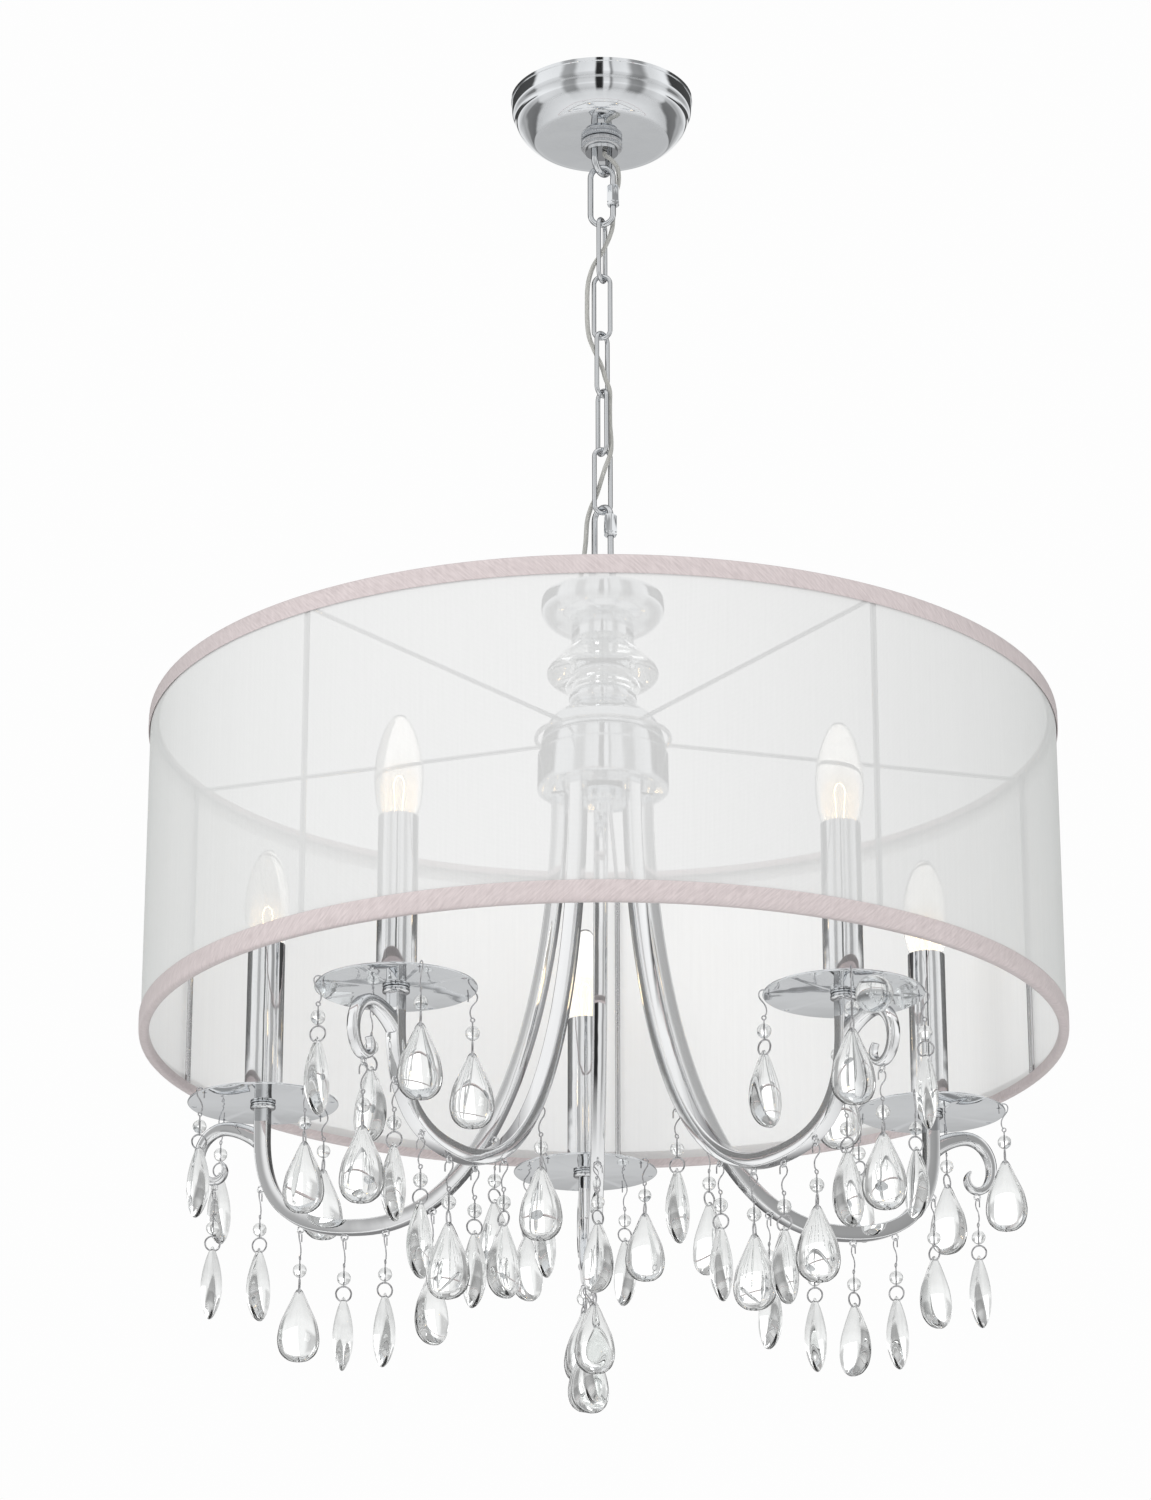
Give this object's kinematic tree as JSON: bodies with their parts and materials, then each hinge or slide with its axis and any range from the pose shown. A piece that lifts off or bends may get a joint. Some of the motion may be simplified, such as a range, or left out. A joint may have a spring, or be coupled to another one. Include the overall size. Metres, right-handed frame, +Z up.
{
  "type": "drum chandelier",
  "caption": "Drum chandelier: sheer cloth drum with bound edges round a chrome column, with curved candle arms and hanging glass drops, on a short chain from a ceiling canopy.",
  "frame": {"origin": "centre of the canopy's rim, on the ceiling", "axes": "+Z up into the ceiling, -Y towards the picture's viewer, +X to the viewer's right"},
  "size_m": [0.6085, 0.609, 0.905],
  "materials": {
    "chrome": "polished mirror chrome",
    "zinc_steel": "plain zinc-plated steel",
    "satin_wire": "satin steel wire",
    "clear_glass": "clear faceted and blown glass",
    "bulb_glass": "clear glass with a warm glow",
    "organza": "sheer plain-woven organza",
    "silk_trim": "slubby silk, slightly creased",
    "clear_cord": "clear plastic jacket over grey cores"
  },
  "bodies": {
    "ceiling_canopy": {"ceiling_bracket": "zinc_steel", "canopy": "chrome", "canopy_collar": "chrome", "canopy_loop": "chrome", "supply_cord": "clear_cord"},
    "quick_link_upper": {"quick_link_upper": "chrome"},
    "quick_nut_upper": {"quick_nut_upper": "chrome"},
    "chain_link_1": {"chain_link_1": "chrome"},
    "chain_link_2": {"chain_link_2": "chrome"},
    "chain_link_3": {"chain_link_3": "chrome"},
    "chain_link_4": {"chain_link_4": "chrome"},
    "chain_link_5": {"chain_link_5": "chrome"},
    "quick_link_lower": {"quick_link_lower": "chrome"},
    "quick_nut_lower": {"quick_nut_lower": "chrome"},
    "fixture": {"column_loop": "chrome", "column_dish": "chrome", "column_glass": "clear_glass", "column_tube": "chrome", "column_ring": "chrome", "hub": "chrome", "hub_nut": "chrome", "shade_frame": "satin_wire", "shade_fabric": "organza", "shade_trim_top": "silk_trim", "shade_trim_bottom": "silk_trim", "arm_1": "chrome", "drip_disc_1": "chrome", "candle_sleeve_1": "chrome", "bulb_1": "bulb_glass", "arm_2": "chrome", "drip_disc_2": "chrome", "candle_sleeve_2": "chrome", "bulb_2": "bulb_glass", "arm_3": "chrome", "drip_disc_3": "chrome", "candle_sleeve_3": "chrome", "bulb_3": "bulb_glass", "arm_4": "chrome", "drip_disc_4": "chrome", "candle_sleeve_4": "chrome", "bulb_4": "bulb_glass", "arm_5": "chrome", "drip_disc_5": "chrome", "candle_sleeve_5": "chrome", "bulb_5": "bulb_glass"},
    "strand_arm_1": {"strand_arm_1": "clear_glass"},
    "strand_arm_2": {"strand_arm_2": "clear_glass"},
    "strand_arm_3": {"strand_arm_3": "clear_glass"},
    "strand_arm_4": {"strand_arm_4": "clear_glass"},
    "strand_arm_5": {"strand_arm_5": "clear_glass"},
    "strand_disc_1": {"strand_disc_1": "clear_glass"},
    "strand_disc_2": {"strand_disc_2": "clear_glass"},
    "strand_disc_3": {"strand_disc_3": "clear_glass"},
    "strand_disc_4": {"strand_disc_4": "clear_glass"},
    "strand_disc_5": {"strand_disc_5": "clear_glass"}
  },
  "joints": [
    {"name": "quick_link_upper_swing", "type": "hinge", "parent": "ceiling_canopy", "child": "quick_link_upper", "pos_m": [0, 0, -0.058], "axis": [0.5592, 0.829, 0], "range_deg": [-12, 12]},
    {"name": "chain_link_1_swing", "type": "hinge", "parent": "quick_link_upper", "child": "chain_link_1", "pos_m": [0, 0, -0.0983], "axis": [0.9903, -0.1392, 0], "range_deg": [-12, 12], "deforming": ["supply_cord"]},
    {"name": "chain_link_2_swing", "type": "hinge", "parent": "chain_link_1", "child": "chain_link_2", "pos_m": [0, 0, -0.142], "axis": [0.3907, 0.9205, 0], "range_deg": [-12, 12]},
    {"name": "chain_link_3_swing", "type": "hinge", "parent": "chain_link_2", "child": "chain_link_3", "pos_m": [0, 0, -0.1861], "axis": [0.9848, -0.1736, 0], "range_deg": [-12, 12]},
    {"name": "chain_link_4_swing", "type": "hinge", "parent": "chain_link_3", "child": "chain_link_4", "pos_m": [0, 0, -0.23009], "axis": [0.6428, 0.766, 0], "range_deg": [-12, 12]},
    {"name": "chain_link_5_swing", "type": "hinge", "parent": "chain_link_4", "child": "chain_link_5", "pos_m": [0, 0, -0.27419], "axis": [0.515, -0.8572, 0], "range_deg": [-12, 12]},
    {"name": "quick_link_lower_swing", "type": "hinge", "parent": "chain_link_5", "child": "quick_link_lower", "pos_m": [0, 0, -0.31829], "axis": [0.9613, 0.2756, 0], "range_deg": [-12, 12]},
    {"name": "fixture_swing", "type": "hinge", "parent": "quick_link_lower", "child": "fixture", "pos_m": [0, 0, -0.35937], "axis": [0.682, -0.7314, 0], "range_deg": [-12, 12]},
    {"name": "quick_nut_upper_slide", "type": "slide", "parent": "quick_link_upper", "child": "quick_nut_upper", "axis": [0, 0, 1], "range_m": [0, 0.0068]},
    {"name": "quick_nut_lower_slide", "type": "slide", "parent": "quick_link_lower", "child": "quick_nut_lower", "axis": [0, 0, 1], "range_m": [-0.0081, 0]},
    {"name": "strand_arm_1_swing", "type": "hinge", "parent": "fixture", "child": "strand_arm_1", "pos_m": [0.11176, -0.139, -0.81832], "axis": [0.6266, -0.7793, 0], "range_deg": [-15, 15]},
    {"name": "strand_arm_2_swing", "type": "hinge", "parent": "fixture", "child": "strand_arm_2", "pos_m": [0.16673, 0.06334, -0.81832], "axis": [0.9348, 0.3551, 0], "range_deg": [-15, 15]},
    {"name": "strand_arm_3_swing", "type": "hinge", "parent": "fixture", "child": "strand_arm_3", "pos_m": [-0.00871, 0.17814, -0.81832], "axis": [-0.0489, 0.9988, 0], "range_deg": [-15, 15]},
    {"name": "strand_arm_4_swing", "type": "hinge", "parent": "fixture", "child": "strand_arm_4", "pos_m": [-0.17212, 0.04676, -0.81832], "axis": [-0.965, 0.2622, 0], "range_deg": [-15, 15]},
    {"name": "strand_arm_5_swing", "type": "hinge", "parent": "fixture", "child": "strand_arm_5", "pos_m": [-0.09766, -0.14924, -0.81832], "axis": [-0.5476, -0.8368, 0], "range_deg": [-15, 15]},
    {"name": "strand_disc_1_swing", "type": "hinge", "parent": "fixture", "child": "strand_disc_1", "pos_m": [0.19734, -0.18197, -0.71987], "axis": [0.9995, 0.0314, 0], "range_deg": [-15, 15]},
    {"name": "strand_disc_2_swing", "type": "hinge", "parent": "fixture", "child": "strand_disc_2", "pos_m": [0.23405, 0.13145, -0.71987], "axis": [0.279, 0.9603, 0], "range_deg": [-15, 15]},
    {"name": "strand_disc_3_swing", "type": "hinge", "parent": "fixture", "child": "strand_disc_3", "pos_m": [-0.05269, 0.26321, -0.71987], "axis": [-0.8271, 0.5621, 0], "range_deg": [-15, 15]},
    {"name": "strand_disc_4_swing", "type": "hinge", "parent": "fixture", "child": "strand_disc_4", "pos_m": [-0.26661, 0.03122, -0.71987], "axis": [-0.7902, -0.6129, 0], "range_deg": [-15, 15]},
    {"name": "strand_disc_5_swing", "type": "hinge", "parent": "fixture", "child": "strand_disc_5", "pos_m": [-0.11208, -0.24391, -0.71987], "axis": [0.3387, -0.9409, 0], "range_deg": [-15, 15]}
  ]
}
